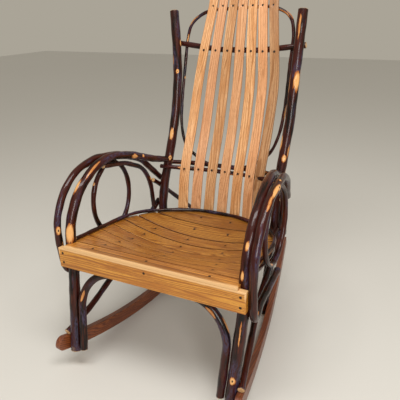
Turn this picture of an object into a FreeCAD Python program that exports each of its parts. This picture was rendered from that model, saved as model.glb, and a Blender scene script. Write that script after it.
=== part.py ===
import FreeCAD, Part
import math
import os
from FreeCAD import Vector

# Bent sapling rocking chair with oak slats.
# Millimetres. The front faces -Y, +X is the sitter's left, +Z is up.
# The origin lies on the floor, midway between the rockers, where they touch it
# when the empty chair is at rest.

# Clearance shared by every joint
FIT = 0.3

# Shape of the bends
BEND_ROOM_SHARE = 0.48
STRAIGHT_DEGREES = 0.5

# Rockers
ROCKER_FRONT_RADIUS = 1255.0
ROCKER_REAR_RADIUS = 826.0
ROCKER_HEIGHT = 44.0
ROCKER_THICK = 19.0
ROCKER_FRONT = 429.0
ROCKER_REAR = 445.0
ROCKER_GAP = 552.0
ROCKER_NOSE = 19.0
ROCKER_HEEL = 8.0
TOE_IN_DEGREES = 8.0

# Seat
SEAT_FRONT = 358.0
SEAT_DEPTH = 507.0
SEAT_HEIGHT = 412.0
SEAT_DROP = 66.0
SEAT_HALF_WIDTH = 268.0
SEAT_BOW_DEPTH = 214.0
SEAT_DISH = 50.0
SEAT_SLAT_THICK = 9.0
FRONT_SLAT_WIDTH = 49.0
REAR_SLAT_WIDTH = 82.0
FRONT_JOINT = 2.4
REAR_JOINT = 6.0
SEAT_SLATS = 8
NARROW_JOINTS = 4
DISH_SHARES = (0.0, 0.0, 0.45, 0.78, 1.0, 1.0, 0.94, 0.4, 0.0)
SEAT_CORNER_SHARES = (0.62, 0.76)
SEAT_SIDE_SHARES = (0.93, 0.42)
SEAT_REAR_SHARE = 0.3
SLAT_CORNER_SHARE = 0.12
SEAT_PLAN_POWER = 2.4
SEAT_NARROW_SHARE = 0.4
SEAT_RAIL_RADIUS = 11.0
SEAT_STICK_RADIUS = 8.0
SEAT_STICK_BEND = 30.0
SEAT_STICK_SINK = 1.8
# Where each stick crosses the front and the back of the seat, out from the middle
SEAT_STICK_FRONTS = (-184.0, -6.0, 182.0)
SEAT_STICK_REARS = (-148.0, -55.0, 50.0)
TRIM_RADIUS = 5.0

# Apron
APRON_LENGTH = 575.0
APRON_HEIGHT = 63.0
APRON_THICK = 19.0

# Legs that bend over into the arms
LEG_RADIUS = 18.0
ARM_END_RADIUS = 11.5
LEG_FOOT_FRONT = 375.0
LEG_SEAT_X = 271.0
ARM_HEIGHT = 604.0
ARM_BEND = 160.0
# Each row, from seat to post: how far back, how far up to the arm's height, and
# how far in toward the post.
ARM_SHARES = (
    (0.0, 0.0, 0.0),
    (0.02, 0.3, 0.0),
    (0.11, 0.7, 0.02),
    (0.27, 0.96, 0.08),
    (0.42, 1.02, 0.2),
    (0.62, 0.88, 0.48),
    (0.82, 0.66, 0.8),
)

# Outer arm hoops
HOOP_RADIUS = 11.0
HOOP_FRONT_INSET = 20.0
HOOP_RUN_HEIGHT = 290.0
HOOP_RUN_REAR = -35.0
HOOP_RUN_INWARD = 24.0
HOOP_RUN_SHARES = (0.35, 0.62)
HOOP_REAR_HEIGHT = 434.0
HOOP_SHARES = (
    (0.0, 0.33, 0.0),
    (0.08, 0.7, 0.0),
    (0.2, 0.95, 0.02),
    (0.38, 1.02, 0.1),
    (0.58, 0.94, 0.32),
    (0.82, 0.66, 0.65),
)

# Thin saplings under each arm
UNDER_RADIUS = 8.5
UNDER_SHARES = (
    (0.38, 0.0, 0.16),
    (0.62, 0.1, 0.4),
    (0.84, 0.3, 0.7),
    (0.93, 0.6, 0.9),
    (0.95, 1.0, 1.0),
)
OVAL_RADIUS = 8.0
OVAL_WIDTH = 196.0
OVAL_CENTRE = 94.0
OVAL_CORNERS = 12
DIAGONAL_RADIUS = 8.5
DIAGONAL_TOP = 446.0
BRACE_RADIUS = 10.0
BRACE_TOP = 352.0
BRACE_SHARES = ((0.2, 0.36, 0.1), (0.5, 0.85, 0.4))

# Front arch between the legs
ARCH_RADIUS = 12.0
ARCH_TOP = 334.0
ARCH_BEND = 145.0

# Rear posts
POST_RADIUS = 17.0
POST_TOP_RADIUS = 16.5
POST_TOP = 1024.0
POST_TOP_Y = 354.0
POST_SEAT_Y = 158.0
POST_SEAT_HEIGHT = 345.0
POST_FOOT_Y = 105.0
POST_BEND = 260.0
POST_X = 218.0
# Each row: height as a share from seat level to the top, then how far out the
# right and the left post stand, as shares of POST_X.
POST_SHARES = (
    (0.0, 1.085, 0.945),
    (0.13, 1.085, 0.94),
    (0.25, 1.045, 0.93),
    (0.36, 1.015, 0.95),
    (0.5, 0.995, 0.975),
    (0.68, 1.02, 0.965),
    (0.84, 1.1, 0.965),
    (1.0, 1.2, 0.96),
)

# Cross saplings of the back
UPPER_RUNG_RADIUS = 10.0
UPPER_RUNG_HEIGHT = 914.0
UPPER_RUNG_SAG = 20.0
UPPER_RUNG_POKE = 18.0
LUMBAR_RADIUS = 8.5
LUMBAR_HEIGHT = 501.0
LUMBAR_BOW = 26.0
BAR_RADIUS = 8.0
BAR_HEIGHT = 490.0
BAR_SAG = 8.0
BAR_BOW = 21.0
BAR_BEND_SHARES = (0.8, 0.4)
BAR_AHEAD_SHARE = 0.7
LOW_RUNG_RADIUS = 10.0
LOW_RUNG_HEIGHT = 300.0

# Hoop behind the back slats
CROWN_RADIUS = 6.0
CROWN_HEIGHT = 1038.0
CROWN_FOOT = 497.0
CROWN_HALF_WIDTH = 198.0
CROWN_SHIFT = 19.0
# Each row, from top to foot: how far out, then how high on the right and on the left.
CROWN_SHARES = (
    (0.62, 0.975, 0.995),
    (0.93, 0.9, 0.94),
    (1.0, 0.8, 0.85),
    (1.0, 0.38, 0.38),
    (0.97, 0.24, 0.24),
    (0.84, 0.1, 0.1),
    (0.4, 0.0, 0.0),
)

# Back slats
BACK_SLATS = 7
BACK_SLAT_WIDTH = 37.0
BACK_SLAT_TOP_WIDTH = 31.0
BACK_SLAT_THICK = 9.0
BACK_SLAT_TOP = 1165.0
BACK_SLAT_ARCH = 42.0
BACK_SLAT_TAIL = 16.0
BACK_PITCH = 52.0
BACK_PITCH_SHARES = (1.0, 0.965, 0.955, 0.93, 0.835, 0.745, 0.72)
BACK_BOW = 20.0
BACK_BOW_SHARES = (0.3, 0.7)
# Places of the slats at the bar, the upper rung and the hoop, in pitches from the
# middle: the chair was laid out by eye and the left slats stand closer.
SLAT_PLACE_SHARES = (
    (-3.0, -2.0, -1.0, 0.0, 1.0, 1.91, 2.66),
    (-3.05, -2.0, -0.97, 0.05, 1.03, 2.0, 2.95),
    (-3.0, -2.0, -1.0, -0.07, 0.85, 1.75, 2.7),
)

# Screws
SCREW_HEAD_RADIUS = 3.6
SCREW_HEAD = 2.0
SCREW_SHANK_RADIUS = 1.8
SCREW_SHANK = 13.0
APRON_SCREW_SHANK = 28.0
APRON_SCREW_INSET = 14.0
APRON_SCREW_RISE = 15.0

# Places worked out from the sizes above
SLOPE = SEAT_DROP / SEAT_DEPTH
TOE = math.radians(TOE_IN_DEGREES)
APRON_BACK = APRON_THICK - SEAT_FRONT
APRON_TOP = SEAT_HEIGHT - SEAT_SLAT_THICK
APRON_BASE = APRON_TOP - APRON_HEIGHT
LEG_SEAT_Y = APRON_BACK + FIT + LEG_RADIUS
SEAT_BACK = SEAT_DEPTH - SEAT_FRONT
POST_SLOPE = (POST_TOP_Y - POST_SEAT_Y) / (POST_TOP - POST_SEAT_HEIGHT)


def between(a, b, share):
    return a + (b - a) * share


def seat_plane(y):
    return SEAT_HEIGHT - (y + SEAT_FRONT) * SLOPE


def rocker_radius(y):
    return ROCKER_FRONT_RADIUS if y < 0 else ROCKER_REAR_RADIUS


def rocker_foot(y):
    radius = rocker_radius(y)
    return radius - math.sqrt(radius ** 2 - y ** 2)


def rocker_top(y):
    radius = rocker_radius(y)
    return radius - math.sqrt((radius - ROCKER_HEIGHT) ** 2 - y ** 2)


def rocker_inner(y):
    return ROCKER_GAP / 2 - math.tan(TOE) * (y + LEG_FOOT_FRONT)


def rocker_outer(y):
    return rocker_inner(y) + ROCKER_THICK / math.cos(TOE)


def post_place(side, height):
    """Centre of a post at a height from the seat upward."""
    column = 1 if side < 0 else 2
    share = (height - POST_SEAT_HEIGHT) / (POST_TOP - POST_SEAT_HEIGHT)
    rows = POST_SHARES
    out = rows[0][column]
    for low, high in zip(rows, rows[1:]):
        if share >= low[0]:
            part = min((share - low[0]) / (high[0] - low[0]), 1)
            out = between(low[column], high[column], part)
    y = POST_SEAT_Y + POST_SLOPE * (height - POST_SEAT_HEIGHT)
    return Vector(side * out * POST_X, y, height)


def rounded(points, bend):
    """Wire along the points, with each corner turned into a tangent arc."""
    edges = []
    here = points[0]
    for before, corner, after in zip(points, points[1:], points[2:]):
        back = before - corner
        ahead = after - corner
        room = min(back.Length, ahead.Length) * BEND_ROOM_SHARE
        back.normalize()
        ahead.normalize()
        turn = math.pi - back.getAngle(ahead)
        if turn < math.radians(STRAIGHT_DEGREES):
            continue
        cut = min(bend * math.tan(turn / 2), room)
        radius = cut / math.tan(turn / 2)
        start = corner + back * cut
        end = corner + ahead * cut
        middle = back + ahead
        middle.normalize()
        centre = corner + middle * (radius / math.cos(turn / 2))
        if here.distanceToPoint(start) > FIT:
            edges.append(Part.makeLine(here, start))
        edges.append(Part.Arc(start, centre - middle * radius, end).toShape())
        here = end
    edges.append(Part.makeLine(here, points[-1]))
    return Part.Wire(edges)


def ring(centre, direction, radius):
    return Part.Wire(Part.Circle(centre, direction, radius).toShape())


class Limb:
    """A bent sapling, with a copy grown by the fit for cutting its seats."""

    def __init__(self, points, radius, bend, end_radius=None):
        self.points = points
        self.radius = radius
        self.end_radius = end_radius or radius
        self.bend = bend
        self.solid = self.swept(0)

    def swept(self, extra):
        wire = rounded(self.points, self.bend)
        first = ring(self.points[0], self.points[1] - self.points[0], self.radius + extra)
        rings = [first]
        if self.end_radius != self.radius:
            ahead = self.points[-1] - self.points[-2]
            rings.append(ring(self.points[-1], ahead, self.end_radius + extra))
        return wire.makePipeShell(rings, True, False)

    def grown(self):
        return self.swept(FIT)

    def cleared(self, *others):
        """Cut this sapling where it would enter the others."""
        for other in others:
            tool = other.grown() if isinstance(other, Limb) else other
            self.solid = largest(self.solid.cut(tool))
        return self


def largest(shape):
    solids = sorted(shape.Solids, key=lambda solid: solid.Volume)
    return solids[-1]


# Rockers
def rocker(side):
    """Arched board with a round nose, turned in toward the rear."""
    under = [Vector(0, y, rocker_foot(y)) for y in spread(-ROCKER_FRONT, ROCKER_REAR)]
    front = ROCKER_FRONT * (1 - ROCKER_HEIGHT / ROCKER_FRONT_RADIUS)
    rear = ROCKER_REAR * (1 - ROCKER_HEIGHT / ROCKER_REAR_RADIUS)
    top = [Vector(0, y, rocker_top(y)) for y in spread(-front, rear)]
    edges = [
        Part.Arc(*under[:3]).toShape(),
        Part.Arc(*under[2:]).toShape(),
        Part.makeLine(under[-1], top[-1]),
        Part.Arc(*top[2:]).toShape(),
        Part.Arc(*top[:3]).toShape(),
        Part.makeLine(top[0], under[0]),
    ]
    outline = Part.Wire(Part.__sortEdges__(edges))
    board = Part.Face(outline).extrude(Vector(ROCKER_THICK, 0, 0))
    ends = [edge for edge in board.Edges if is_across(edge)]
    noses = [edge for edge in ends if edge.CenterOfMass.y < -FIT - front / 2]
    board = board.makeFillet(ROCKER_NOSE, noses)
    heels = [edge for edge in board.Edges if is_across(edge) and edge.CenterOfMass.y > rear - FIT]
    board = board.makeFillet(ROCKER_HEEL, heels)
    board.rotate(Vector(0, 0, 0), Vector(0, 0, 1), TOE_IN_DEGREES)
    board.translate(Vector(rocker_inner(0), 0, 0))
    if side < 0:
        board = board.mirror(Vector(0, 0, 0), Vector(1, 0, 0))
    return board


def spread(front, rear):
    """Ends, middles and lowest point of a rocker's arc."""
    return [front, front / 2, 0, rear / 2, rear]


def is_across(edge):
    """True for a straight edge that crosses a board's thickness."""
    ends = [vertex.Point for vertex in edge.Vertexes]
    if len(ends) < 2:
        return False
    run = ends[1] - ends[0]
    return abs(abs(run.x) - run.Length) < FIT


# Side frames
def leg_arm_points(side):
    """Front leg, up past the apron end and over into the arm."""
    foot_x = rocker_inner(-LEG_FOOT_FRONT) - FIT - LEG_RADIUS
    foot = Vector(side * foot_x, -LEG_FOOT_FRONT, rocker_foot(-LEG_FOOT_FRONT) + FIT)
    post = post_place(side, BAR_HEIGHT + BAR_RADIUS + ARM_END_RADIUS)
    points = [foot, Vector(side * LEG_SEAT_X, LEG_SEAT_Y, APRON_BASE)]
    for along, up, inward in ARM_SHARES:
        x = between(LEG_SEAT_X, abs(post.x), inward)
        y = between(LEG_SEAT_Y, post.y, along)
        z = between(SEAT_HEIGHT, ARM_HEIGHT, up)
        points.append(Vector(side * x, y, z))
    points.append(Vector(post.x, post.y, post.z))
    return points


def hoop_points(side):
    """Lower run under the seat edge, curl at the apron end, then the outer arm."""
    post = post_place(side, HOOP_REAR_HEIGHT)
    out_x = APRON_LENGTH / 2 + FIT + HOOP_RADIUS
    front = HOOP_FRONT_INSET - SEAT_FRONT
    run_y = between(front, HOOP_RUN_REAR, HOOP_RUN_SHARES[0])
    run_x = out_x - HOOP_RUN_INWARD * HOOP_RUN_SHARES[1]
    points = [
        Vector(side * (out_x - HOOP_RUN_INWARD), HOOP_RUN_REAR, HOOP_RUN_HEIGHT - HOOP_RADIUS / 2),
        Vector(side * run_x, run_y, HOOP_RUN_HEIGHT),
        Vector(side * out_x, front + HOOP_RADIUS, HOOP_RUN_HEIGHT),
        Vector(side * out_x, front, APRON_TOP),
    ]
    rear_x = abs(post.x) + POST_RADIUS + FIT + HOOP_RADIUS
    for along, up, inward in HOOP_SHARES:
        x = between(out_x, rear_x, inward)
        y = between(front, post.y, along)
        z = between(SEAT_HEIGHT, ARM_HEIGHT, up)
        points.append(Vector(side * x, y, z))
    points.append(Vector(side * rear_x, post.y + POST_RADIUS, HOOP_REAR_HEIGHT))
    return points


def brace_points(side):
    """From the rocker's front top, past the leg, up to the outside of the post."""
    post = post_place(side, BRACE_TOP)
    rear_x = abs(post.x) + POST_RADIUS + FIT + BRACE_RADIUS
    start_y = -LEG_FOOT_FRONT
    low_x = rocker_outer(start_y) - ROCKER_THICK / 2 + FIT
    low_z = rocker_top(start_y) + BRACE_RADIUS + FIT
    points = [Vector(side * low_x, start_y, low_z)]
    for along, inward, up in BRACE_SHARES:
        x = between(low_x, rear_x, inward)
        y = between(start_y, post.y, along)
        points.append(Vector(side * x, y, between(low_z, BRACE_TOP, up)))
    points.append(Vector(side * rear_x, post.y + POST_RADIUS, BRACE_TOP))
    return points


def under_points(side):
    """From the underside of the arm, curving down to the side brace."""
    post = post_place(side, BRACE_TOP)
    high = ARM_HEIGHT - ARM_END_RADIUS - UNDER_RADIUS - FIT
    end_x = abs(post.x) + POST_RADIUS + FIT + BRACE_RADIUS
    points = []
    for along, down, inward in UNDER_SHARES:
        x = between(LEG_SEAT_X, end_x, inward)
        y = between(LEG_SEAT_Y, post.y, along)
        points.append(Vector(side * x, y, between(high, BRACE_TOP - BRACE_RADIUS, down)))
    return points


def oval_points(side):
    """Thin loop between the arm and the seat rail, its two ends meeting at the top."""
    x = SEAT_HALF_WIDTH + TRIM_RADIUS / 2 + FIT + OVAL_RADIUS
    low = seat_plane(-OVAL_CENTRE) - SEAT_SLAT_THICK - SEAT_RAIL_RADIUS * 2
    high = ARM_HEIGHT - LEG_RADIUS - OVAL_RADIUS
    turn = 2 * math.pi / OVAL_CORNERS
    reach = 1 / math.cos(turn / 2)
    points = [Vector(side * x, FIT - OVAL_CENTRE, high)]
    for k in range(OVAL_CORNERS):
        angle = turn * (k + 1 / 2)
        y = math.sin(angle) * reach * OVAL_WIDTH / 2 - OVAL_CENTRE
        z = between(low, high, (1 + math.cos(angle) * reach) / 2)
        points.append(Vector(side * x, y, z))
    points.append(Vector(side * x, -FIT - OVAL_CENTRE, high))
    return points


def diagonal_points(side):
    """From under the arm, past the post, down to the rocker's rear end."""
    post = post_place(side, DIAGONAL_TOP)
    x = abs(post.x) + POST_RADIUS + FIT + DIAGONAL_RADIUS
    end_y = ROCKER_REAR - ROCKER_HEIGHT / 2
    end_x = rocker_inner(end_y) + ROCKER_THICK / 2
    top = Vector(side * x, post.y - POST_RADIUS * 3, DIAGONAL_TOP)
    beside = Vector(side * x, post.y, DIAGONAL_TOP - POST_RADIUS * 2)
    end = Vector(side * end_x, end_y, rocker_top(end_y) + DIAGONAL_RADIUS + FIT)
    return [top, beside, end]


def front_arch_points():
    foot_y = -LEG_FOOT_FRONT
    foot_x = rocker_inner(foot_y) - LEG_RADIUS * 2 - FIT * 2 - ARCH_RADIUS
    head_x = LEG_SEAT_X - LEG_RADIUS - FIT - ARCH_RADIUS
    head_y = APRON_BACK + FIT + ARCH_RADIUS
    foot_z = rocker_foot(foot_y) + ARCH_RADIUS
    return [
        Vector(-foot_x, foot_y, foot_z),
        Vector(-head_x, head_y, ARCH_TOP),
        Vector(head_x, head_y, ARCH_TOP),
        Vector(foot_x, foot_y, foot_z),
    ]


# Posts and the saplings across the back
def post_points(side):
    foot_x = rocker_inner(POST_FOOT_Y) - FIT - POST_RADIUS
    foot = Vector(side * foot_x, POST_FOOT_Y, rocker_foot(POST_FOOT_Y) + FIT)
    points = [foot]
    for row in POST_SHARES:
        points.append(post_place(side, between(POST_SEAT_HEIGHT, POST_TOP, row[0])))
    return points


def upper_rung_points():
    right = post_place(-1, UPPER_RUNG_HEIGHT)
    left = post_place(1, UPPER_RUNG_HEIGHT)
    y = right.y + POST_RADIUS + UPPER_RUNG_RADIUS
    low = UPPER_RUNG_HEIGHT - UPPER_RUNG_SAG
    return [
        Vector(right.x, y, UPPER_RUNG_HEIGHT),
        Vector(right.x / 3, y, low),
        Vector(left.x / 3, y, low),
        Vector(left.x + UPPER_RUNG_POKE, y, UPPER_RUNG_HEIGHT),
    ]


def lumbar_points():
    right = post_place(-1, LUMBAR_HEIGHT)
    left = post_place(1, LUMBAR_HEIGHT)
    bowed = [Vector(end.x / 2, end.y + LUMBAR_BOW, LUMBAR_HEIGHT) for end in (right, left)]
    return [right, *bowed, left]


def bar_points():
    """Bar that crosses the front of both posts and bows back between them."""
    right = post_place(-1, BAR_HEIGHT)
    left = post_place(1, BAR_HEIGHT)
    ahead = POST_RADIUS + BAR_RADIUS + FIT
    past = POST_RADIUS
    low = BAR_HEIGHT - BAR_SAG
    middle = right.y + BAR_BOW
    outer, inner = BAR_BEND_SHARES
    bent = ahead * BAR_AHEAD_SHARE
    return [
        Vector(right.x - past, right.y - ahead, BAR_HEIGHT),
        Vector(right.x * outer, right.y - bent, BAR_HEIGHT),
        Vector(right.x * inner, middle, low),
        Vector(left.x * inner, middle, low),
        Vector(left.x * outer, left.y - bent, BAR_HEIGHT),
        Vector(left.x + past, left.y - ahead, BAR_HEIGHT),
    ]


def post_below(side, height):
    """Centre of a post between its foot on the rocker and the seat."""
    foot, seat = post_points(side)[:2]
    return foot + (seat - foot) * ((height - foot.z) / (seat.z - foot.z))


def low_rung_points():
    """Rung behind both posts, below the seat."""
    right = post_below(-1, LOW_RUNG_HEIGHT)
    left = post_below(1, LOW_RUNG_HEIGHT)
    behind = Vector(0, POST_RADIUS + FIT + LOW_RUNG_RADIUS, 0)
    past = Vector(UPPER_RUNG_POKE, 0, 0)
    return [right + behind - past, left + behind + past]


def low_rung_y():
    return low_rung_points()[0].y


# Seat
def seat_outline(inset):
    """Plan of the seat edge: straight sides and a bowed back."""
    half = SEAT_HALF_WIDTH - inset
    straight = SEAT_BACK - SEAT_BOW_DEPTH
    back = SEAT_BACK - inset
    corner_x = half * SEAT_CORNER_SHARES[0]
    corner_y = between(straight, back, SEAT_CORNER_SHARES[1])
    return half, straight, back, corner_x, corner_y


def seat_bow(inset, rise, radius, front):
    """Sapling that follows the seat edge from front to front."""
    half, straight, back, corner_x, corner_y = seat_outline(inset)
    side_x = half * SEAT_SIDE_SHARES[0]
    side_y = between(straight, back, SEAT_SIDE_SHARES[1])
    plan = [(half, front), (half, straight), (side_x, side_y), (corner_x, corner_y)]
    plan.append((half * SEAT_REAR_SHARE, back))
    plan += [(-x, y) for x, y in reversed(plan)]
    points = [Vector(x, y, seat_plane(y) + rise) for x, y in plan]
    return Limb(points, radius, SEAT_HALF_WIDTH)


def seat_plan_prism(inset):
    """Tall prism on the seat plan, for cutting the slat ends."""
    half, straight, back, corner_x, corner_y = seat_outline(inset)
    side = Vector(half, straight, 0)
    corner = Vector(between(corner_x, half, SLAT_CORNER_SHARE), corner_y, 0)
    rear = Vector(0, back, 0)
    front = -SEAT_FRONT
    edges = [
        Part.makeLine(Vector(half, front, 0), side),
        Part.Arc(side, corner, rear).toShape(),
        Part.Arc(rear, Vector(-corner.x, corner.y, 0), Vector(-side.x, side.y, 0)).toShape(),
        Part.makeLine(Vector(-half, straight, 0), Vector(-half, front, 0)),
        Part.makeLine(Vector(-half, front, 0), Vector(half, front, 0)),
    ]
    return Part.Face(Part.Wire(edges)).extrude(Vector(0, 0, SEAT_HEIGHT * 2))


def slat_edges_y():
    """Where the joints between seat slats lie, front to back."""
    first = FRONT_SLAT_WIDTH - SEAT_FRONT
    last = SEAT_BACK - REAR_SLAT_WIDTH
    middle = SEAT_SLATS - 2
    joints = [between(first, last, k / middle) for k in range(middle + 1)]
    return [-SEAT_FRONT] + joints + [SEAT_BACK]


def joint_behind(k):
    """Width of the open joint behind seat slat k."""
    if k == SEAT_SLATS - 1:
        return 0
    return FRONT_JOINT if k < NARROW_JOINTS else REAR_JOINT


def dish_at(y):
    """How far the seat's middle line lies below its edge plane."""
    edges = slat_edges_y()
    for k in range(SEAT_SLATS):
        if y <= edges[k + 1]:
            share = min((y - edges[k]) / (edges[k + 1] - joint_behind(k) - edges[k]), 1)
            return SEAT_DISH * between(DISH_SHARES[k], DISH_SHARES[k + 1], share)
    return 0


def slat_section(y, dish, half):
    """Dished cross-section of a seat slat at one of its long edges."""
    top = seat_plane(y)
    below = Vector(0, 0, -SEAT_SLAT_THICK)
    ends = [Vector(-half, y, top), Vector(half, y, top)]
    middle = Vector(0, y, top - dish)
    if dish < FIT:
        upper = Part.makeLine(ends[0], ends[1])
        lower = Part.makeLine(ends[1] + below, ends[0] + below)
    else:
        upper = Part.Arc(ends[0], middle, ends[1]).toShape()
        lower = Part.Arc(ends[1] + below, middle + below, ends[0] + below).toShape()
    left = Part.makeLine(ends[1], ends[1] + below)
    right = Part.makeLine(ends[0] + below, ends[0])
    return Part.Wire([upper, left, lower, right])


def half_width_at(y, inset):
    half, straight, back, corner_x, corner_y = seat_outline(inset)
    if y <= straight:
        return half
    drop = (y - straight) / (back - straight)
    bowed = math.sqrt(max(1 - drop ** SEAT_PLAN_POWER, 0))
    return half * max(bowed, SEAT_NARROW_SHARE)


def seat_slats(blockers):
    """Boards that dip in the middle, cut to the plan of the seat."""
    edges = slat_edges_y()
    prism = seat_plan_prism(TRIM_RADIUS / 2)
    slats = []
    for k in range(SEAT_SLATS):
        spans = []
        for y, row in ((edges[k], k), (edges[k + 1] - joint_behind(k), k + 1)):
            dish = SEAT_DISH * DISH_SHARES[row]
            spans.append(slat_section(y, dish, half_width_at(y, 0)))
        board = Part.makeLoft(spans, True, True)
        board = board.common(prism)
        for blocker in blockers:
            board = board.cut(blocker)
        slats.append(largest(board))
    return slats


def seat_top(x, y):
    """Height of the slats' upper face at a place on the seat."""
    dish = dish_at(y)
    return seat_plane(y) - dish + sagitta_at(dish, half_width_at(y, 0), x)


def stick_x(index, y):
    share = (y - APRON_BACK) / (SEAT_BACK - APRON_BACK)
    return between(SEAT_STICK_FRONTS[index], SEAT_STICK_REARS[index], share)


def seat_stick_points(index):
    """Stick that carries the slats from the apron to the back of the seat."""
    rears = [edge - joint_behind(k) for k, edge in enumerate(slat_edges_y()[1:-1])]
    stations = [APRON_BACK + FIT] + rears + [SEAT_BACK - TRIM_RADIUS]
    tops = [seat_top(stick_x(index, y), y) for y in stations]
    points = []
    for k, y in enumerate(stations):
        x = stick_x(index, y)
        before, after = max(k - 1, 0), min(k + 1, len(stations) - 1)
        steep = [abs((tops[k] - tops[j]) / (y - stations[j])) for j in (before, after) if j != k]
        tilt = (seat_top(x + FIT, y) - seat_top(x - FIT, y)) / (FIT + FIT)
        normal = math.sqrt(1 + max(steep) ** 2 + tilt ** 2)
        drop = SEAT_SLAT_THICK + SEAT_STICK_SINK + (SEAT_STICK_RADIUS + FIT) * normal
        points.append(Vector(x, y, tops[k] - drop))
    return points


def sagitta_at(dish, half, x):
    """Rise of the dish's arc from its lowest point to the place x."""
    if dish < FIT:
        return 0
    radius = (half ** 2 + dish ** 2) / (2 * dish)
    return radius - math.sqrt(radius ** 2 - x ** 2)


def apron():
    """Board across the front, its top edge planed to the slope of the seat."""
    left = -APRON_LENGTH / 2
    corners = []
    for y, z in ((-SEAT_FRONT, APRON_BASE), (APRON_BACK, APRON_BASE),
                 (APRON_BACK, apron_top(APRON_BACK)), (-SEAT_FRONT, apron_top(-SEAT_FRONT))):
        corners.append(Vector(left, y, z))
    face = Part.Face(Part.makePolygon(corners + corners[:1]))
    return face.extrude(Vector(APRON_LENGTH, 0, 0))


def apron_top(y):
    return seat_plane(y) - SEAT_SLAT_THICK - FIT


# Back
def crown_points():
    """Oval sapling behind the slats, its two ends meeting at the foot."""
    points = [Vector(FIT - CROWN_SHIFT, crown_y(CROWN_FOOT), CROWN_FOOT)]
    points += [crown_place(1, out, left) for out, right, left in reversed(CROWN_SHARES)]
    points += [crown_place(-1, out, right) for out, right, left in CROWN_SHARES]
    points.append(Vector(-FIT - CROWN_SHIFT, crown_y(CROWN_FOOT), CROWN_FOOT))
    return points


def crown_place(side, out, up):
    z = between(CROWN_FOOT, CROWN_HEIGHT, up)
    return Vector(side * out * CROWN_HALF_WIDTH - CROWN_SHIFT, crown_y(z), z)


def crown_y(z):
    """Depth of the hoop: behind the upper rung, then forward onto the slats."""
    behind = upper_rung_points()[0].y + UPPER_RUNG_RADIUS + FIT + CROWN_RADIUS
    if z < UPPER_RUNG_HEIGHT:
        return behind - (UPPER_RUNG_HEIGHT - z) * POST_SLOPE
    share = (z - UPPER_RUNG_HEIGHT) / (CROWN_HEIGHT - UPPER_RUNG_HEIGHT)
    return between(behind, slat_back(0, CROWN_HEIGHT) + FIT + CROWN_RADIUS, share)


def slat_back(offset, height):
    """Back face of the slats, carried by the bar, the rungs and the crown."""
    bar = bar_points()
    share = min(abs(offset) / abs(bar[1].x), 1)
    bar_y = between(bar[2].y, bar[1].y, share ** 2) - BAR_RADIUS - FIT
    rung_y = upper_rung_points()[0].y - UPPER_RUNG_RADIUS - FIT
    low_y = low_rung_y() - LOW_RUNG_RADIUS - FIT
    if height < BAR_HEIGHT:
        return between(low_y, bar_y, (height - LOW_RUNG_HEIGHT) / (BAR_HEIGHT - LOW_RUNG_HEIGHT))
    share = (height - BAR_HEIGHT) / (UPPER_RUNG_HEIGHT - BAR_HEIGHT)
    return between(bar_y, rung_y, share)


def slat_place(index, height):
    """Sideways place of a back slat at a height, in pitches from the middle."""
    bar, rung, top = [row[index] for row in SLAT_PLACE_SHARES]
    if height <= BAR_HEIGHT:
        return bar
    if height <= UPPER_RUNG_HEIGHT:
        return between(bar, rung, (height - BAR_HEIGHT) / (UPPER_RUNG_HEIGHT - BAR_HEIGHT))
    share = (height - UPPER_RUNG_HEIGHT) / (CROWN_HEIGHT - UPPER_RUNG_HEIGHT)
    return between(rung, top, min(share, 1))


def slat_levels(top):
    """Heights at which each back slat is placed, from foot to top."""
    rung = UPPER_RUNG_HEIGHT - UPPER_RUNG_SAG
    bowed = [between(BAR_HEIGHT, UPPER_RUNG_HEIGHT, share) for share in BACK_BOW_SHARES]
    return [LOW_RUNG_HEIGHT - BACK_SLAT_TAIL, BAR_HEIGHT, *bowed, rung, CROWN_HEIGHT, top]


def back_section(centre, ahead, turn, width):
    """Rectangle across a back slat, turned about the slat's own length."""
    along = Vector(ahead)
    along.normalize()
    across = Vector(along.z, 0, -along.x)
    across.normalize()
    out = across.cross(along)
    half = (across * math.cos(turn) + out * math.sin(turn)) * (width / 2)
    thick = (out * math.cos(turn) - across * math.sin(turn)) * (BACK_SLAT_THICK / 2)
    corners = [centre - half - thick, centre + half - thick, centre + half + thick, centre - half + thick]
    return Part.makePolygon(corners + corners[:1])


def back_slat(index, blockers):
    """One slat, turned with the bar at its foot and bowed back above it."""
    middle = (BACK_SLATS - 1) / 2
    top = BACK_SLAT_TOP - BACK_SLAT_ARCH * (abs(index - middle) / middle) ** 2
    points = []
    for k, level in enumerate(slat_levels(top)):
        x = slat_place(index, level) * BACK_PITCH * BACK_PITCH_SHARES[k]
        bow = BACK_BOW if k in (2, 3) else 0
        points.append(Vector(x, slat_back(x, level) + bow - BACK_SLAT_THICK / 2, level))
    x = points[1].x
    run = slat_back(x + FIT, BAR_HEIGHT) - slat_back(x - FIT, BAR_HEIGHT)
    turn = -math.atan2(run, FIT + FIT)
    foot = back_section(points[0], points[1] - points[0], turn, BACK_SLAT_WIDTH)
    head = back_section(points[-1], points[-1] - points[-2], 0, BACK_SLAT_TOP_WIDTH)
    slat = rounded(points, SEAT_DEPTH).makePipeShell([foot, head], True, False)
    for blocker in blockers:
        slat = slat.cut(blocker)
    return largest(slat)


# Screws
def screw(point, inward, shank, extra):
    """Countersunk wood screw: a head flush with the face and its shank."""
    inward = Vector(inward)
    inward.normalize()
    top = point - inward * extra
    head = Part.makeCylinder(SCREW_HEAD_RADIUS + extra, SCREW_HEAD + extra * 2, top, inward)
    stem = Part.makeCylinder(SCREW_SHANK_RADIUS + extra, SCREW_HEAD + shank + extra * 2, top, inward)
    return head.fuse(stem)


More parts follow.
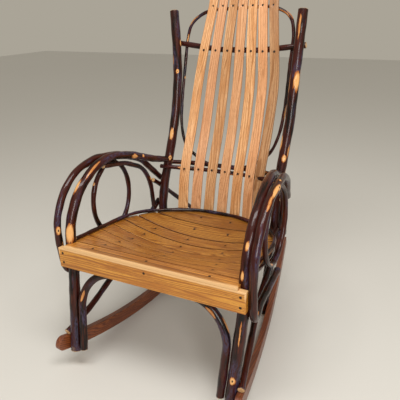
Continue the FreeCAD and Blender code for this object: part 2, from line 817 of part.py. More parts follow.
def back_screw_places():
    """Three rows of screws that fix the back slats, with their directions."""
    places = []
    for row in (1, 4, 5):
        level = slat_levels(BACK_SLAT_TOP)[row]
        for index in range(BACK_SLATS):
            x = slat_place(index, level) * BACK_PITCH * BACK_PITCH_SHARES[row]
            y = slat_back(x, level) - BACK_SLAT_THICK
            places.append((Vector(x, y, level), Vector(0, 1, -POST_SLOPE)))
    return places


def seat_screw_places():
    places = []
    edges = slat_edges_y()
    for front, back in zip(edges, edges[1:]):
        y = max((front + back) / 2, APRON_BACK + SEAT_STICK_RADIUS)
        for index in range(len(SEAT_STICK_FRONTS)):
            x = stick_x(index, y)
            run = (seat_top(x + FIT, y) - seat_top(x - FIT, y)) / (FIT + FIT)
            rise = (seat_top(x, y + FIT) - seat_top(x, y - FIT)) / (FIT + FIT)
            places.append((Vector(x, y, seat_top(x, y)), Vector(run, rise, -1)))
    return places


def apron_screw_places():
    x = APRON_LENGTH / 2 - APRON_SCREW_INSET
    middle = APRON_BASE + APRON_HEIGHT / 2
    inward = Vector(0, 1, 0)
    places = [(Vector(0, -SEAT_FRONT, middle + APRON_SCREW_RISE), inward)]
    for side in (-1, 1):
        for rise in (-APRON_SCREW_RISE, APRON_SCREW_RISE):
            places.append((Vector(side * x, -SEAT_FRONT, middle + rise), inward))
    return places


def screw_set(places, shank, extra=0):
    return Part.makeCompound([screw(point, inward, shank, extra) for point, inward in places])


def side_frame(side, name, parts):
    """Rocker, post, arms and braces of one side."""
    board = rocker(side)
    beside = board.translated(Vector(-side * FIT, 0, 0))
    above = board.translated(Vector(0, 0, FIT))
    post = Limb(post_points(side), POST_RADIUS, POST_BEND, POST_TOP_RADIUS).cleared(beside)
    arm = Limb(leg_arm_points(side), LEG_RADIUS, ARM_BEND, ARM_END_RADIUS).cleared(beside, post)
    hoop = Limb(hoop_points(side), HOOP_RADIUS, ARM_BEND).cleared(post, arm)
    brace = Limb(brace_points(side), BRACE_RADIUS, SEAT_DEPTH).cleared(post, arm, above, hoop)
    under = Limb(under_points(side), UNDER_RADIUS, ARM_BEND)
    under.cleared(arm, brace, post, hoop)
    diagonal = Limb(diagonal_points(side), DIAGONAL_RADIUS, ARM_BEND)
    diagonal.cleared(post, under, above, brace, hoop)
    loop = Limb(oval_points(side), OVAL_RADIUS, SEAT_DEPTH).cleared(arm, hoop, under)
    parts["rocker_" + name] = board
    parts["rear_post_" + name] = post.solid
    parts["leg_arm_" + name] = arm.solid
    parts["arm_hoop_" + name] = hoop.solid
    parts["side_brace_" + name] = brace.solid
    parts["arm_brace_" + name] = under.solid
    parts["rear_diagonal_" + name] = diagonal.solid
    parts["arm_oval_" + name] = loop.solid
    return post, arm


def back_frame(posts, arms, parts):
    """Rungs, bar, hoop and slats of the back."""
    upper = Limb(upper_rung_points(), UPPER_RUNG_RADIUS, SEAT_DEPTH).cleared(*posts)
    lumbar = Limb(lumbar_points(), LUMBAR_RADIUS, SEAT_DEPTH).cleared(*posts)
    bar = Limb(bar_points(), BAR_RADIUS, SEAT_DEPTH).cleared(*posts, *arms, lumbar)
    low = Limb(low_rung_points(), LOW_RUNG_RADIUS, SEAT_DEPTH).cleared(*posts)
    crown = Limb(crown_points(), CROWN_RADIUS, SEAT_DEPTH).cleared(upper, lumbar, *posts)
    parts["upper_rung"] = upper.solid
    parts["lumbar_rung"] = lumbar.solid
    parts["lumbar_bar"] = bar.solid
    parts["low_rung"] = low.solid
    parts["back_hoop"] = crown.solid
    blockers = [limb.grown() for limb in (upper, lumbar, bar, low, crown)]
    for index in range(BACK_SLATS):
        parts["back_slat_%d" % (index + 1)] = back_slat(index, blockers)


def seat_frame(arms, parts):
    """Apron, rail, slats, sticks and trim of the seat."""
    board = apron()
    behind = board.translated(Vector(0, FIT, 0))
    parts["apron"] = board
    arch = Limb(front_arch_points(), ARCH_RADIUS, ARCH_BEND).cleared(*arms, behind)
    parts["front_arch"] = arch.solid
    inset = TRIM_RADIUS + SEAT_RAIL_RADIUS / 2
    below = -SEAT_SLAT_THICK - SEAT_RAIL_RADIUS - FIT
    rail = seat_bow(inset, below, SEAT_RAIL_RADIUS, LEG_SEAT_Y).cleared(*arms)
    parts["seat_rail"] = rail.solid
    slats = seat_slats([limb.grown() for limb in (*arms, rail)])
    for index, slat in enumerate(slats):
        parts["seat_slat_%d" % (index + 1)] = slat
    for index in range(len(SEAT_STICK_FRONTS)):
        stick = Limb(seat_stick_points(index), SEAT_STICK_RADIUS, SEAT_STICK_BEND)
        parts["seat_stick_%d" % (index + 1)] = stick.cleared(rail, behind).solid
    trim = seat_bow(TRIM_RADIUS / 2, TRIM_RADIUS + FIT, TRIM_RADIUS, LEG_SEAT_Y)
    parts["seat_trim"] = trim.cleared(*arms).solid


def fasten(parts):
    """Screws in three sets, each in holes wider by the fit."""
    apron_hosts = ("apron", "leg_arm", "seat_stick")
    seat_hosts = ("seat_slat", "seat_stick", "seat_rail")
    back_hosts = ("back_slat", "upper_rung", "lumbar_bar", "back_hoop")
    sets = (
        ("apron_screws", apron_screw_places(), APRON_SCREW_SHANK, apron_hosts),
        ("seat_screws", seat_screw_places(), SCREW_SHANK, seat_hosts),
        ("back_screws", back_screw_places(), SCREW_SHANK, back_hosts),
    )
    for name, places, shank, hosts in sets:
        holes = screw_set(places, shank, FIT)
        for key in list(parts):
            if key.startswith(hosts):
                parts[key] = largest(parts[key].cut(holes))
        parts[name] = screw_set(places, shank)


def main():
    os.makedirs("parts", exist_ok=True)
    parts = {}
    sides = [side_frame(side, name, parts) for side, name in ((-1, "right"), (1, "left"))]
    posts = [post for post, arm in sides]
    arms = [arm for post, arm in sides]
    back_frame(posts, arms, parts)
    seat_frame(arms, parts)
    fasten(parts)
    for name, shape in parts.items():
        print(name, shape.isValid(), len(shape.Solids), round(shape.Volume / 1000, 1))
        shape.exportStep("parts/" + name + ".step")


main()
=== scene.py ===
# %% [markdown]
# # A rocking chair of bent hickory saplings and oak slats
#
# The chair's frame is made of young hickory stems, bent while green and varnished with
# the bark left on. Its seat, back, front board and rockers are planed oak. The measured
# solids come from the CAD model, so this lesson starts from them and gives each piece
# its bark, grain, softened edges and wear. Lengths are metres, the front faces -Y.

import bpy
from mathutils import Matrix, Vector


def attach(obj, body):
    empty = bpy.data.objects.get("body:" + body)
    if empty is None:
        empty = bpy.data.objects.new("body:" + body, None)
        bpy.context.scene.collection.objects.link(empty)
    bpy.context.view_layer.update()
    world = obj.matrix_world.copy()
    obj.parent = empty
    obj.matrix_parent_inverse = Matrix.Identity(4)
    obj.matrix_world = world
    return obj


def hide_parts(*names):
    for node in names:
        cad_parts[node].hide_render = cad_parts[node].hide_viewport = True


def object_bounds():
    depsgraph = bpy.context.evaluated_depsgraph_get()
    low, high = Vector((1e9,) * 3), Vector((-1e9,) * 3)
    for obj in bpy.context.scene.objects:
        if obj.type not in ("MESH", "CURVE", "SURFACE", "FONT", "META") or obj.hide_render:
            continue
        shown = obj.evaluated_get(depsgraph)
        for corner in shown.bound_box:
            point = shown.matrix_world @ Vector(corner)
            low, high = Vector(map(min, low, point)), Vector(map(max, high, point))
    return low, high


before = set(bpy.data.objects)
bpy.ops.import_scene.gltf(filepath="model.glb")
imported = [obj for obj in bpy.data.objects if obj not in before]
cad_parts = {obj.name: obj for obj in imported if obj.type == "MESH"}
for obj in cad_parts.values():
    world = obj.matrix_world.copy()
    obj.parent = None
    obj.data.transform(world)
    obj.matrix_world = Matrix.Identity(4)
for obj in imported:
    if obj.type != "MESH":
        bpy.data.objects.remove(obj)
cad_low, cad_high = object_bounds()
print("solids in the frame:", len(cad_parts))

# %% Tools used by every cell
import heapq
import math
import random

import bmesh
import bpy
import numpy as np
from mathutils import Matrix, Vector

MM = 0.001

# %% [markdown]
# ## Camera
#
# A camera can be aimed by dragging it, or set from numbers. Here the numbers come from
# matching edges of the chair, so its place, its turn about the vertical, its downward
# tilt and its small roll are written out and turned into three directions.

# %% Camera at the photograph's angle
TURN_TILT_ROLL = (25.73, 22.73, 1.09)
CAMERA_PLACE = (0.5935, -1.2362, 1.0341)
yaw, pitch, roll = (math.radians(angle) for angle in TURN_TILT_ROLL)
level = Vector((-math.sin(yaw), math.cos(yaw), 0))
right = Vector((math.cos(yaw), math.sin(yaw), 0))
ahead = level * math.cos(pitch) - Vector((0, 0, math.sin(pitch)))
down = -level * math.sin(pitch) - Vector((0, 0, math.cos(pitch)))
across = right * math.cos(roll) + down * math.sin(roll)
below = down * math.cos(roll) - right * math.sin(roll)
camera_data = bpy.data.cameras.new("view")
camera_data.sensor_width = 36
camera_data.lens = 41.35
camera = bpy.data.objects.new("view", camera_data)
turned = Matrix((across, -below, -ahead)).transposed().to_4x4()
camera.matrix_world = Matrix.Translation(CAMERA_PLACE) @ turned
bpy.context.scene.collection.objects.link(camera)
bpy.context.scene.camera = camera
print("camera stands", round(camera.location.length, 2), "m from the origin")

# %% [markdown]
# ## Floor and light
#
# A wide pale sheet under the chair keeps its shadow. The light is that of a plain
# studio: a pale grey world gives part of it from all round, and two large soft lamps give
# the rest, so a colour renders about as it is written. The camera and the reflections see
# a backdrop as grey as the far floor, so the floor's edge stays quiet.

# %% Colours
def linear(hex_colour):
    """The linear colour that a shader needs for an sRGB hex value."""
    values = [int(hex_colour[k:k + 2], 16) / 255 for k in (1, 3, 5)]
    return tuple(v / 12.92 if v <= 0.04045 else ((v + 0.055) / 1.055) ** 2.4
                 for v in values) + (1.0,)


# %% Nodes and materials
def connect(tree, node, inputs):
    """Sets or links a node's inputs. A node given for one stands for its first live output."""
    for name, value in inputs.items():
        if isinstance(value, bpy.types.Node):
            value = next(socket for socket in value.outputs if socket.enabled)
        if isinstance(value, bpy.types.NodeSocket):
            tree.links.new(value, node.inputs[name])
        else:
            node.inputs[name].default_value = value


def add(tree, kind, inputs=None, **settings):
    """Adds a node with its settings, and connects its inputs."""
    node = tree.nodes.new(kind)
    for name, value in settings.items():
        setattr(node, name, value)
    connect(tree, node, inputs or {})
    return node


def new_material(name):
    """An empty material and its principled shader."""
    material = bpy.data.materials.new(name)
    material.use_nodes = True
    tree = material.node_tree
    return material, tree, tree.nodes["Principled BSDF"]


# %% Floor
FLOOR_HALF_WIDTH = 9
floor_mesh = bpy.data.meshes.new("floor")
sheet = bmesh.new()
bmesh.ops.create_grid(sheet, x_segments=1, y_segments=1, size=FLOOR_HALF_WIDTH)
sheet.to_mesh(floor_mesh)
sheet.free()
floor = bpy.data.objects.new("floor", floor_mesh)
bpy.context.scene.collection.objects.link(floor)
material, tree, shader = new_material("floor_paper")
COLOURS = {"data_type": "RGBA"}
speckle = add(tree, "ShaderNodeTexNoise", {"Scale": 3.0, "Detail": 4.0})
tone = add(tree, "ShaderNodeMix", {0: speckle, 6: linear("#cfcbc3"), 7: linear("#d6d2ca")},
           **COLOURS)
connect(tree, shader, {"Base Color": tone, "Roughness": 0.85})
floor_mesh.materials.append(material)
print("floor:", 2 * FLOOR_HALF_WIDTH, "m wide")

# %% World and lamps
world = bpy.data.worlds.new("studio")
bpy.context.scene.world = world
world.use_nodes = True
tree = world.node_tree
light = tree.nodes["Background"]
connect(tree, light, {"Color": linear("#c6c2b9"), "Strength": 0.85})
backdrop = add(tree, "ShaderNodeBackground", {"Color": linear("#aaa497")})
rays = add(tree, "ShaderNodeLightPath").outputs
seen = add(tree, "ShaderNodeMath", {0: rays["Is Camera Ray"], 1: rays["Is Glossy Ray"]},
           operation="MAXIMUM")
seen = add(tree, "ShaderNodeMath", {0: seen, 1: rays["Is Transmission Ray"]},
           operation="MAXIMUM")
either = add(tree, "ShaderNodeMixShader", {0: seen, 1: light, 2: backdrop})
connect(tree, tree.nodes["World Output"], {"Surface": either})


def soft_lamp(name, place, target, width, depth, power):
    """A large oblong lamp that points at a place."""
    data = bpy.data.lights.new(name, "AREA")
    data.shape = "RECTANGLE"
    data.size = width
    data.size_y = depth
    data.energy = power
    lamp = bpy.data.objects.new(name, data)
    lamp.location = place
    lamp.rotation_euler = (Vector(target) - Vector(place)).to_track_quat("-Z", "Y").to_euler()
    bpy.context.scene.collection.objects.link(lamp)


soft_lamp("overhead", place=(0.4, -0.9, 2.9), target=(0, 0, 0.5), width=2.4, depth=0.7, power=56)
soft_lamp("window", place=(1.6, -2.4, 1.7), target=(0, 0, 0.6), width=1.0, depth=1.4, power=42)
print("lamps:", [lamp.name for lamp in bpy.data.lights])

# %% [markdown]
# ## Saplings, step one: an even skin
#
# A stem with its bark on is never a true tube: it swells and thins, carries knots where
# twigs grew, and its ends are sawn or cut to saddle another stem. Each stem's solid is
# copied, its loose triangles are merged, and a voxel remesh lays small even faces over
# it. Smoothing takes off the voxel steps and a shrinkwrap lays the skin back on the solid.
# Even faces are what lets the later steps push knots out of the skin.

# %% Copying a solid
def merged_copy(node, name):
    """A copy of a CAD node with its loose triangles joined."""
    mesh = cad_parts[node].data.copy()
    mesh.name = name
    mesh.materials.clear()
    piece = bpy.data.objects.new(name, mesh)
    bpy.context.scene.collection.objects.link(piece)
    shape = bmesh.new()
    shape.from_mesh(mesh)
    bmesh.ops.remove_doubles(shape, verts=shape.verts, dist=0.01 * MM)
    shape.to_mesh(mesh)
    shape.free()
    return piece


# %% An even skin
def even_skin(piece, size):
    """Covers a piece with faces of one size, then takes the steps off them."""
    exact = bpy.data.objects.new("exact", piece.data)
    bpy.context.scene.collection.objects.link(exact)
    remesh = piece.modifiers.new("even skin", "REMESH")
    remesh.mode = "VOXEL"
    remesh.voxel_size = size
    remesh.use_smooth_shade = True
    piece.modifiers.new("no steps", "SMOOTH").iterations = 3
    piece.modifiers.new("back on the solid", "SHRINKWRAP").target = exact
    graph = bpy.context.evaluated_depsgraph_get()
    mesh = bpy.data.meshes.new_from_object(piece.evaluated_get(graph))
    piece.modifiers.clear()
    piece.data = mesh
    bpy.data.objects.remove(exact)
    return mesh


# %% Reading a mesh
def points_of(mesh, what="vertices"):
    """Vertex places, or vertex normals, as rows of numbers."""
    data = mesh.vertices if what == "vertices" else mesh.vertex_normals
    rows = np.zeros(len(mesh.vertices) * 3)
    data.foreach_get("co" if what == "vertices" else "vector", rows)
    return rows.reshape(-1, 3)


# %% [markdown]
# ## Saplings, step two: unbending the grain
#
# Bark grows in long streaks that follow the stem round every bend, and its rings show on
# the sawn ends. A pattern in plain object coordinates would cut across the bends. So the
# script walks over the skin from one end, takes the middle of each short length as the
# stem's centre line, and stores for every point where it would lie if the stem were
# straight again: sideways, sideways, and along. The bark reads that attribute.

# %% Walking along a stem
def walked(mesh):
    """How far each vertex lies from one end, walking over the skin."""
    places = points_of(mesh)
    ends = np.zeros(len(mesh.edges) * 2, int)
    mesh.edges.foreach_get("vertices", ends)
    ends = ends.reshape(-1, 2)
    steps = np.linalg.norm(places[ends[:, 0]] - places[ends[:, 1]], axis=1)
    beside = [[] for _ in places]
    for (one, other), step in zip(ends.tolist(), steps.tolist()):
        beside[one].append((other, step))
        beside[other].append((one, step))

    def spread(start):
        reach = [-1.0] * len(beside)
        queue = [(0.0, start)]
        while queue:
            far, here = heapq.heappop(queue)
            if reach[here] >= 0:
                continue
            reach[here] = far
            for other, step in beside[here]:
                if reach[other] < 0:
                    heapq.heappush(queue, (far + step, other))
        return np.array(reach)

    return spread(int(spread(0).argmax()))


# %% The centre line
def middle_line(places, rows):
    """The middle of each row of points."""
    count = np.bincount(rows)
    total = np.stack([np.bincount(rows, places[:, k]) for k in range(3)], 1)
    return total[count > 0] / count[count > 0][:, None]


# The middle of a stem is taken over rows of points this long, and round a loop over rows
# this narrow.
ROW_LENGTH = 12 * MM
ROWS_IN_A_RADIAN = 20


def centre_line(mesh, closed):
    """Centre line of an open stem, or of a stem bent right round into a loop."""
    places = points_of(mesh)
    if closed:
        spokes = places - places.mean(0)
        plane = np.linalg.svd(spokes, full_matrices=False)[2]
        angle = np.arctan2(spokes @ plane[1], spokes @ plane[0])
        line = middle_line(places, ((angle + math.pi) * ROWS_IN_A_RADIAN).astype(int))
        return np.vstack([line, line[:1]])
    rows = (np.maximum(walked(mesh), 0) / ROW_LENGTH).astype(int)
    line = middle_line(places, rows)[1:-1]
    # The line is smoothed, then run on past both ends.
    for _ in range(3):
        line[1:-1] = (line[:-2] + 2 * line[1:-1] + line[2:]) / 4
    head = line[0] + (line[0] - line[1]) * 4
    tail = line[-1] + (line[-1] - line[-2]) * 4
    return np.vstack([head, line, tail])


# %% Straightening
def straightened(places, line):
    """Each point beside a straightened centre line, and the stem's direction there."""
    runs = np.diff(line, axis=0)
    lengths = np.linalg.norm(runs, axis=1)
    ways = runs / lengths[:, None]
    starts = np.concatenate([[0], np.cumsum(lengths)])
    # Sideways starts square to any direction that no stem begins along.
    side = np.cross(ways[0], (0.3, 0.5, 0.81))
    nearest = np.full(len(places), np.inf)
    unbent = np.zeros_like(places)
    way_at = np.zeros_like(places)
    for k, way in enumerate(ways):
        side = side - way * (side @ way)
        side = side / np.linalg.norm(side)
        other = np.cross(way, side)
        spoke = places - line[k]
        along = np.clip(spoke @ way, 0, lengths[k])
        off = spoke - along[:, None] * way
        gap = (off ** 2).sum(1)
        near = gap < nearest
        nearest[near] = gap[near]
        unbent[near] = np.stack([off @ side, off @ other, starts[k] + along], 1)[near]
        way_at[near] = way
    return unbent, way_at


# %% [markdown]
# ## Saplings, step three: knots, scrapes and sawn ends
#
# Where a twig was trimmed off, the stem bulges and shows an eye: a pale ring with a dark
# middle. Where the stem was shaved or rubbed, orange wood shows through the dark bark.
# The clear ones are placed where the chair has them, and small ones are scattered along
# the rest from a fixed seed. A knot swells the skin a little, a rub presses it in, and
# each bare mark is stored as a number from 0 to 1, which the bark turns into colour. The
# stem also swells and thins slowly along its length, and no skin passes the solids' box.

# %% Marks that stand out on the chair
# Each mark: its kind, its place in millimetres, then half its length and width.
MARKS = {
    "rear_post_right": [("eye", (-219, 282, 821), 8, 6), ("scrape", (-217, 219, 605), 24, 8),
                        ("eye", (-219, 197, 519), 10, 7), ("scrape", (-226, 323, 915), 13, 5)],
    "rear_post_left": [("scrape", (220, 281, 806), 34, 12), ("rub", (199, 281, 796), 30, 5),
                       ("scrape", (197, 226, 610), 28, 6), ("scrape", (211, 208, 565), 14, 8),
                       ("rub", (208, 326, 975), 40, 4)],
    "leg_arm_right": [("scrape", (-263, -330, 438), 32, 13), ("scrape", (-273, -262, 560), 24, 6),
                      ("rub", (-259, -200, 595), 42, 3.5), ("scrape", (-240, -4, 580), 17, 8),
                      ("scrape", (-234, 41, 569), 6, 6)],
    "leg_arm_left": [("scrape", (284, -289, 508), 13, 5), ("scrape", (271, -308, 502), 13, 5),
                     ("scrape", (267, -333, 432), 13, 5), ("eye", (262, -376, 137), 13, 8),
                     ("rub", (271, -350, 272), 38, 2.6)],
    "arm_hoop_right": [("eye", (-290, -344, 449), 14, 7)],
    "arm_hoop_left": [("eye", (303, -170, 609), 14, 8), ("scrape", (302, -194, 608), 38, 6),
                      ("rub", (302, -244, 595), 26, 4)],
    "arm_brace_right": [("eye", (-255, 116, 461), 8, 5)],
    "back_hoop": [("rub", (140, 371, 1016), 30, 3), ("rub", (-194, 368, 993), 26, 3)],
    "front_arch": [("rub", (190, -343, 306), 22, 5)],
    "lumbar_rung": [("rub", (-181, 207, 496), 22, 4)],
    "lumbar_bar": [("rub", (-159, 186, 490), 20, 4)],
}

print("marks that stand out:", sum(len(marks) for marks in MARKS.values()))


# %% Numbers stored on the skin
def set_value(mesh, name, values, kind="FLOAT"):
    """Stores one number or one direction for each vertex."""
    layer = mesh.attributes.new(name, kind, "POINT")
    field = "value" if kind == "FLOAT" else "vector"
    layer.data.foreach_set(field, np.ascontiguousarray(values, np.float32).ravel())


# %% Small marks along a stem
def scattered_marks(node, unbent, rng):
    """Small knots and rubs along a stem, about one every 130 mm."""
    length = unbent[:, 2].max()
    marks = []
    along = rng.uniform(40, 110) * MM
    while along < length - 30 * MM:
        near = np.flatnonzero(np.abs(unbent[:, 2] - along) < 3 * MM)
        if len(near):
            spot = unbent[near[rng.randrange(len(near))]]
            kind = rng.choice(("eye", "bump", "bump", "rub"))
            size = rng.uniform(3.0, 5.5)
            marks.append((kind, spot, size * (5 if kind == "rub" else 1.4), size))
        along += rng.uniform(80, 180) * MM
    return marks


# %% One dressed stem
# How far a stem's skin stands off its solid, in millimetres. The seat's trim is pressed
# against the slats, so its bark fills the joint.
STAND_OFF = {"seat_trim": 0.9}
USUAL_STAND_OFF = -0.3
# A knot or a scrape swells by one share of its half width and is hollow by another. A rub
# is pressed in by millimetres, and is never as bare as a scrape.
SWELLING, HOLLOW, RUB_DEPTH, RUB_BARENESS = 0.26, 0.2, 0.3, 0.72
# Only skin this near the end of a stem can be sawn.
SAWN_REACH = 14 * MM


def dress_stem(node, size, closed=False):
    """A stem with an even skin, knots, and the numbers that its bark reads."""
    piece = merged_copy(node, "stem_" + node)
    mesh = even_skin(piece, size)
    places = points_of(mesh)
    line = centre_line(mesh, closed)
    unbent, ways = straightened(places, line)
    normals = points_of(mesh, "normals")
    rng = random.Random(node)
    marks = scattered_marks(node, unbent, rng)
    for kind, place, half_length, half_width in MARKS.get(node, ()):
        spot = straightened(np.array([place]) * MM, line)[0][0]
        spot = unbent[((unbent - spot) ** 2).sum(1).argmin()]
        marks.append((kind, spot, half_length, half_width))
    bare = np.zeros(len(places))
    heart = np.zeros(len(places))
    # Slow swells along the stem, in millimetres.
    lift = 0.35 * np.sin(unbent[:, 2] * rng.uniform(38, 60) + rng.uniform(0, 6))
    lift += 0.25 * np.sin(unbent[:, 2] * rng.uniform(90, 140) + rng.uniform(0, 6))
    lift += STAND_OFF.get(node, USUAL_STAND_OFF)
    for kind, spot, half_length, half_width in marks:
        gap = unbent - spot
        off = np.hypot(gap[:, 0], gap[:, 1]) / (half_width * MM)
        reach = np.hypot(off, gap[:, 2] / (half_length * MM))
        if kind != "bump":
            barest = RUB_BARENESS if kind == "rub" else 1
            bare = np.maximum(bare, np.clip(1.5 - reach, 0, barest))
        if kind == "eye":
            heart = np.maximum(heart, np.clip(1.25 - reach * 2.6, 0, 1))
        if kind != "rub":
            swelling = np.exp(-reach ** 2) * half_width * SWELLING
            hollow = np.exp(-(reach * 3) ** 2) * half_width * HOLLOW
            lift += swelling - hollow
        else:
            lift -= np.exp(-reach ** 2) * RUB_DEPTH
    along = unbent[:, 2]
    at_end = np.minimum(along - along.min(), along.max() - along)
    facing = np.abs((normals * ways).sum(1))
    sawn = np.clip((facing - 0.55) * 5, 0, 1) * (at_end < SAWN_REACH) * (0 if closed else 1)
    moved = places + normals * (lift * (1 - sawn))[:, None] * MM
    moved = np.clip(moved, cad_low, cad_high)
    mesh.vertices.foreach_set("co", moved.ravel())
    mesh.update()
    set_value(mesh, "unbent", unbent, "FLOAT_VECTOR")
    set_value(mesh, "bare", bare)
    set_value(mesh, "heart", heart)
    set_value(mesh, "sawn", sawn)
    return piece


# %% [markdown]
# ## Hickory bark under varnish
#
# Young hickory bark is thin and tight, and under several coats of varnish it turns
# nearly black, with brown and plum streaks and a broad wet sheen. In Blender that is a
# dark base colour with streaks stretched along the stem, a clear coat for the varnish,
# and a bump of fine ridges. Streaks are about 3 mm wide and 45 mm long, ridges 1.2 mm
# wide and 12 mm long: the last is coarser than life, so that it shows at this size, and
# so are the growth rings of the sawn ends, 1.6 mm apart.

# %% Bark material
# Settings that many nodes of the bark and the oak share.
SMOOTH = {"interpolation_type": "SMOOTHSTEP"}
TIMES = {"operation": "MULTIPLY"}
TIMES_PLUS = {"operation": "MULTIPLY_ADD"}
# Each pattern's width and length in millimetres, its detail, and its shift from the rest.
BARK_PATTERNS = {"streak": (3.0, 45.0, 3.0, 0.0), "mottle": (2.6, 9.0, 2.0, 5.0),
                 "red_zone": (22.0, 120.0, 1.0, 9.0), "grey_zone": (20.0, 90.0, 1.0, 31.0),
                 "ridge": (1.2, 12.0, 2.0, 13.0), "fleck": (4.5, 26.0, 3.0, 17.0)}
# The growth rings of a sawn end, in millimetres apart.
END_RINGS = 1.6


def hickory_bark(name, dark, brown, rust, plum, fleck_level):
    """Bark-on hickory under gloss varnish, with orange wood where the bark is gone."""
    material, tree, shader = new_material(name)
    place = add(tree, "ShaderNodeAttribute", attribute_name="unbent").outputs["Vector"]
    bare, heart, sawn = (add(tree, "ShaderNodeAttribute", attribute_name=mark).outputs["Fac"]
                         for mark in ("bare", "heart", "sawn"))
    drawn = {}
    for pattern, (width, length, detail, shift) in BARK_PATTERNS.items():
        scale = (1 / (width * MM), 1 / (width * MM), 1 / (length * MM))
        scaled = add(tree, "ShaderNodeVectorMath", {0: place, 1: scale, 2: (shift,) * 3},
                     **TIMES_PLUS)
        drawn[pattern] = add(tree, "ShaderNodeTexNoise", {"Vector": scaled, "Scale": 1.0,
                                                          "Detail": detail, "Roughness": 0.55})

    # Bark: brown and rust over near black, then the plum of the grey zones.
    share = add(tree, "ShaderNodeMapRange", {0: drawn["red_zone"], 1: 0.42, 2: 0.6}, **SMOOTH)
    bark = add(tree, "ShaderNodeMix", {0: share, 6: linear(dark), 7: linear(brown)}, **COLOURS)
    share = add(tree, "ShaderNodeMapRange", {0: drawn["streak"], 1: 0.5, 2: 0.72}, **SMOOTH)
    share = add(tree, "ShaderNodeMath", {0: share, 1: 0.7}, **TIMES)
    bark = add(tree, "ShaderNodeMix", {0: share, 6: bark, 7: linear(rust)}, **COLOURS)
    zone = add(tree, "ShaderNodeMapRange", {0: drawn["grey_zone"], 1: 0.52, 2: 0.66}, **SMOOTH)
    share = add(tree, "ShaderNodeMapRange", {0: drawn["mottle"], 1: 0.34, 2: 0.66}, **SMOOTH)
    share = add(tree, "ShaderNodeMath", {0: zone, 1: share}, **TIMES)
    bark = add(tree, "ShaderNodeMix", {0: share, 6: bark, 7: linear(plum)}, **COLOURS)

    # Bare wood: ragged at its edge, orange there and cream in the middle, with dark hearts.
    ragged = add(tree, "ShaderNodeMath", {0: drawn["fleck"], 1: 1.2, 2: bare}, **TIMES_PLUS)
    share = add(tree, "ShaderNodeMapRange", {0: ragged, 1: fleck_level, 2: fleck_level + 0.08},
                **SMOOTH)
    core = add(tree, "ShaderNodeMath", {0: drawn["streak"], 1: 0.8, 2: bare}, **TIMES_PLUS)
    core = add(tree, "ShaderNodeMapRange", {0: core, 1: 0.95, 2: 1.35}, **SMOOTH)
    wood = add(tree, "ShaderNodeMix", {0: core, 6: linear("#9c5722"), 7: linear("#dca566")},
               **COLOURS)
    colour = add(tree, "ShaderNodeMix", {0: share, 6: bark, 7: wood}, **COLOURS)
    share = add(tree, "ShaderNodeMapRange", {0: heart, 1: 0.3, 2: 0.75}, **SMOOTH)
    colour = add(tree, "ShaderNodeMix", {0: share, 6: colour, 7: linear("#24120a")}, **COLOURS)

    # Sawn ends: growth rings round the centre line.
    radius = add(tree, "ShaderNodeVectorMath", {0: place, 1: (1.0, 1.0, 0.0)}, **TIMES)
    radius = add(tree, "ShaderNodeVectorMath", {0: radius}, operation="LENGTH")
    rings = add(tree, "ShaderNodeMath", {0: radius, 1: 2 * math.pi / (END_RINGS * MM)}, **TIMES)
    rings = add(tree, "ShaderNodeMath", {0: rings}, operation="SINE")
    share = add(tree, "ShaderNodeMapRange", {0: rings, 1: -1.0, 2: 1.0}, **SMOOTH)
    wood = add(tree, "ShaderNodeMix", {0: share, 6: linear("#b98a58"), 7: linear("#d9b585")},
               **COLOURS)
    colour = add(tree, "ShaderNodeMix", {0: sawn, 6: colour, 7: wood}, **COLOURS)

    # Varnish: uneven gloss under a thin clear coat, over fine ridges.
    dull = add(tree, "ShaderNodeMapRange",
               {0: drawn["mottle"], 1: 0.35, 2: 0.7, 3: 0.26, 4: 0.42})
    fine = add(tree, "ShaderNodeBump",
               {"Height": drawn["ridge"], "Strength": 0.35, "Distance": 0.5 * MM})
    broad = add(tree, "ShaderNodeBump", {"Height": drawn["mottle"], "Strength": 0.5,
                                         "Distance": 1.2 * MM, "Normal": fine})
    connect(tree, shader, {"Base Color": colour, "Roughness": dull, "Normal": broad,
                           "Specular IOR Level": 0.14, "Coat Weight": 0.36,
                           "Coat Roughness": 0.08})
    return material


bark = hickory_bark("hickory_bark_varnished", "#0b0403", "#35100a", "#5a240c", "#3b3348",
                    fleck_level=1.1)
print("bark nodes:", len(bark.node_tree.nodes))

# %% [markdown]
# ## Dressing the stems
#
# Every stem goes through the same three steps. Thick stems take a coarser skin than thin
# ones, so that each has about the same number of faces round it.

# %% All the stems
# The size of a skin's faces, in millimetres, and the stems that take it.
STEMS = {
    2.4: ("rear_post_right", "rear_post_left", "leg_arm_right", "leg_arm_left"),
    2.0: ("arm_hoop_right", "arm_hoop_left", "side_brace_right", "side_brace_left",
          "arm_brace_right", "arm_brace_left", "rear_diagonal_right", "rear_diagonal_left",
          "upper_rung", "lumbar_rung", "lumbar_bar", "low_rung", "front_arch", "seat_rail"),
    1.6: ("arm_oval_right", "arm_oval_left", "back_hoop", "seat_trim"),
}
LOOPS = ("arm_oval_right", "arm_oval_left", "back_hoop")
for size, nodes in STEMS.items():
    for node in nodes:
        piece = dress_stem(node, size * MM, node in LOOPS)
        piece.data.materials.append(bark)
        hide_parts(node)
        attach(piece, "root")
        print(node, len(piece.data.vertices), "points")

# %% [markdown]
# ## Oak boards
#
# The seat, back, front board and rockers are planed oak under a honey varnish. Their
# solids already have the right bends, so a merged copy keeps them and the sharp edges
# are softened by a small bevel, as sandpaper leaves them. Each board stores its own grain
# coordinates, with the grain along its length, and a tone and a blush of its own, because
# no two boards match. The tone also carries painted shade: the seat slats darken from front
# to rear and the last back slat is darkest, as the light falls on them. The faces that look
# into a joint between the seat slats are darkened, a painted shade in the gaps.

# %% Softened boards
SHARP_ANGLE = math.radians(40)
SHORTEST_EDGE = 2.5 * MM


